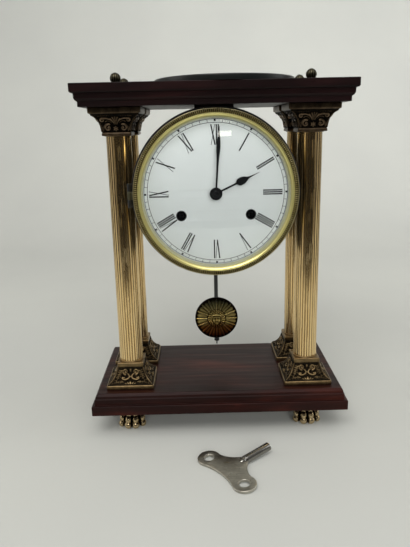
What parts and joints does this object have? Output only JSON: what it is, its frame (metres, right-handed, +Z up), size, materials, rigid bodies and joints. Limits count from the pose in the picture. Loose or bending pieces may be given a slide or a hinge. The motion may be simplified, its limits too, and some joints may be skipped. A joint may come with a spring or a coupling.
{
  "type": "table clock",
  "caption": "Table clock in a wooden four-column portico frame with a round glazed dial, hands, swinging pendulum and winding key.",
  "frame": {"origin": "on the surface the clock stands on, under the middle of the whole set of clock and key; the clock's own centre is 46.2 mm behind it", "axes": "+Z up, +X to the right seen from the front, +Y to the back; the dial faces -Y"},
  "size_m": [0.251, 0.2259, 0.3455],
  "materials": {
    "mahogany": "satin french polish",
    "antique_brass": "cast, toned dark in the recesses",
    "polished_brass": "polished",
    "black_japan": "gloss black",
    "blackened_steel": "satin black",
    "dial_white": "enamel white with black numerals",
    "clear_glass": "clear",
    "nickel": "worn nickel plate",
    "bell_metal": "turned",
    "steel": "bright",
    "movement_brass": "lacquered"
  },
  "bodies": {
    "case": {"base_board": "mahogany", "foot_front_left": "antique_brass", "foot_front_right": "antique_brass", "foot_rear_left": "antique_brass", "foot_rear_right": "antique_brass", "column_base_front_left": "antique_brass", "column_base_front_right": "antique_brass", "column_base_rear_left": "antique_brass", "column_base_rear_right": "antique_brass", "column_shaft_front_left": "polished_brass", "column_shaft_front_right": "polished_brass", "column_shaft_rear_left": "polished_brass", "column_shaft_rear_right": "polished_brass", "capital_front_left": "antique_brass", "capital_front_right": "antique_brass", "capital_rear_left": "antique_brass", "capital_rear_right": "antique_brass", "tie_rods": "steel", "finial_nuts": "polished_brass", "top_slab": "mahogany", "drum_saddle": "mahogany", "drum_bolts": "steel", "drum_shell": "black_japan", "drum_flange": "black_japan", "hinge_pin": "polished_brass", "dial_plate": "dial_white", "dial_feet": "movement_brass", "front_plate": "movement_brass", "back_plate": "movement_brass", "plate_pillars": "movement_brass", "ratchet_clicks": "steel", "suspension_cock": "movement_brass", "bell": "bell_metal", "bell_post": "steel"},
    "bezel_door": {"bezel_ring": "polished_brass", "glass": "clear_glass"},
    "minute_arbor": {"minute_hand": "blackened_steel", "hand_nut": "blackened_steel", "centre_arbor": "movement_brass"},
    "hour_pipe": {"hour_hand": "blackened_steel", "hour_wheel": "movement_brass"},
    "minute_wheel": {"minute_wheel": "movement_brass"},
    "second_wheel": {"second_wheel": "movement_brass"},
    "going_barrel": {"going_barrel": "movement_brass"},
    "third_wheel": {"third_wheel": "movement_brass"},
    "escape_wheel": {"escape_wheel": "movement_brass"},
    "pendulum": {"suspension_spring": "steel", "pendulum_rod": "blackened_steel"},
    "anchor": {"anchor_crutch": "steel"},
    "bob": {"bob": "antique_brass"},
    "rating_nut": {"rating_nut": "polished_brass"},
    "pin_wheel": {"pin_wheel": "movement_brass"},
    "strike_barrel": {"strike_barrel": "movement_brass"},
    "strike_second_wheel": {"strike_second_wheel": "movement_brass"},
    "fly": {"fly": "movement_brass"},
    "hammer": {"hammer": "steel"},
    "going_arbor": {"going_arbor": "steel"},
    "strike_arbor": {"strike_arbor": "steel"},
    "dust_cap": {"dust_cap": "black_japan"},
    "winding_key": {"winding_key": "nickel"}
  },
  "joints": [
    {"name": "bezel_door_swing", "type": "hinge", "parent": "case", "child": "bezel_door", "pos_m": [-0.079, -0.0044, 0.2374], "axis": [0, 0, -1], "range_deg": [0, 110]},
    {"name": "minute_hand_turn", "type": "hinge", "parent": "case", "child": "minute_arbor", "pos_m": [0, 0.0162, 0.2374], "axis": [0, 1, 0], "continuous": true},
    {"name": "hour_hand_turn", "type": "hinge", "parent": "case", "child": "hour_pipe", "pos_m": [0, 0.0012, 0.2374], "axis": [0, 1, 0], "continuous": true},
    {"name": "minute_wheel_turn", "type": "hinge", "parent": "case", "child": "minute_wheel", "pos_m": [-0.00848, 0.0052, 0.22892], "axis": [0, 1, 0], "continuous": true},
    {"name": "second_wheel_turn", "type": "hinge", "parent": "case", "child": "second_wheel", "pos_m": [0.01738, 0.0212, 0.23943], "axis": [0, 1, 0], "continuous": true},
    {"name": "going_barrel_turn", "type": "hinge", "parent": "case", "child": "going_barrel", "pos_m": [0.0324, 0.0212, 0.217], "axis": [0, 1, 0], "continuous": true},
    {"name": "third_wheel_turn", "type": "hinge", "parent": "case", "child": "third_wheel", "pos_m": [-0.00509, 0.0212, 0.25297], "axis": [0, 1, 0], "continuous": true},
    {"name": "escape_wheel_turn", "type": "hinge", "parent": "case", "child": "escape_wheel", "pos_m": [0, 0.0262, 0.2654], "axis": [0, 1, 0], "continuous": true},
    {"name": "pendulum_swing", "type": "hinge", "parent": "case", "child": "pendulum", "pos_m": [0, 0.0532, 0.2784], "axis": [0, 1, 0], "range_deg": [-5, 5]},
    {"name": "anchor_rock", "type": "hinge", "parent": "case", "child": "anchor", "pos_m": [0, 0.0362, 0.2784], "axis": [0, 1, 0], "range_deg": [-5, 5]},
    {"name": "rating_nut_turn", "type": "hinge", "parent": "bob", "child": "rating_nut", "pos_m": [0, 0.0532, 0.0738], "axis": [0, 0, 1], "range_deg": [-720, 720]},
    {"name": "bob_height", "type": "slide", "parent": "pendulum", "child": "bob", "axis": [0, 0, 1], "range_m": [-0.001, 0.001]},
    {"name": "pin_wheel_turn", "type": "hinge", "parent": "case", "child": "pin_wheel", "pos_m": [-0.0276, 0.0212, 0.25333], "axis": [0, 1, 0], "continuous": true},
    {"name": "strike_barrel_turn", "type": "hinge", "parent": "case", "child": "strike_barrel", "pos_m": [-0.0324, 0.0212, 0.217], "axis": [0, 1, 0], "continuous": true},
    {"name": "strike_second_turn", "type": "hinge", "parent": "case", "child": "strike_second_wheel", "pos_m": [-0.03709, 0.0212, 0.24359], "axis": [0, 1, 0], "continuous": true},
    {"name": "fly_turn", "type": "hinge", "parent": "case", "child": "fly", "pos_m": [-0.02569, 0.0262, 0.26419], "axis": [0, 1, 0], "continuous": true},
    {"name": "hammer_lift", "type": "hinge", "parent": "case", "child": "hammer", "pos_m": [-0.014, 0.0422, 0.2274], "axis": [0, -1, 0], "range_deg": [0, 10], "stiffness_Nm_per_rad": 0.006, "springref_deg": -11.46},
    {"name": "going_wind", "type": "hinge", "parent": "case", "child": "going_arbor", "pos_m": [0.0324, 0.0162, 0.217], "axis": [0, 1, 0], "range_deg": [0, 1800]},
    {"name": "strike_wind", "type": "hinge", "parent": "case", "child": "strike_arbor", "pos_m": [-0.0324, 0.0162, 0.217], "axis": [0, -1, 0], "range_deg": [0, 1800]},
    {"name": "dust_cap_lift", "type": "slide", "parent": "case", "child": "dust_cap", "axis": [0, 0, 1], "range_m": [0, 0.06]},
    {"name": "winding_key_lift", "type": "slide", "parent": "case", "child": "winding_key", "axis": [0, 0, 1], "range_m": [0, 0.06]}
  ],
  "couplings": [
    {"joint": "hour_hand_turn", "follows": "minute_hand_turn", "ratio": 0.083333},
    {"joint": "minute_wheel_turn", "follows": "minute_hand_turn", "ratio": -0.33333},
    {"joint": "second_wheel_turn", "follows": "minute_hand_turn", "ratio": -0.16667},
    {"joint": "going_barrel_turn", "follows": "minute_hand_turn", "ratio": 0.025641},
    {"joint": "third_wheel_turn", "follows": "minute_hand_turn", "ratio": -12},
    {"joint": "escape_wheel_turn", "follows": "minute_hand_turn", "ratio": 132},
    {"joint": "anchor_rock", "follows": "pendulum_swing", "ratio": 1},
    {"joint": "rating_nut_turn", "follows": "bob_height", "rad_per_m": 12566},
    {"joint": "strike_barrel_turn", "follows": "pin_wheel_turn", "ratio": 0.020513},
    {"joint": "strike_second_turn", "follows": "pin_wheel_turn", "ratio": -0.13333},
    {"joint": "fly_turn", "follows": "pin_wheel_turn", "ratio": -8}
  ]
}
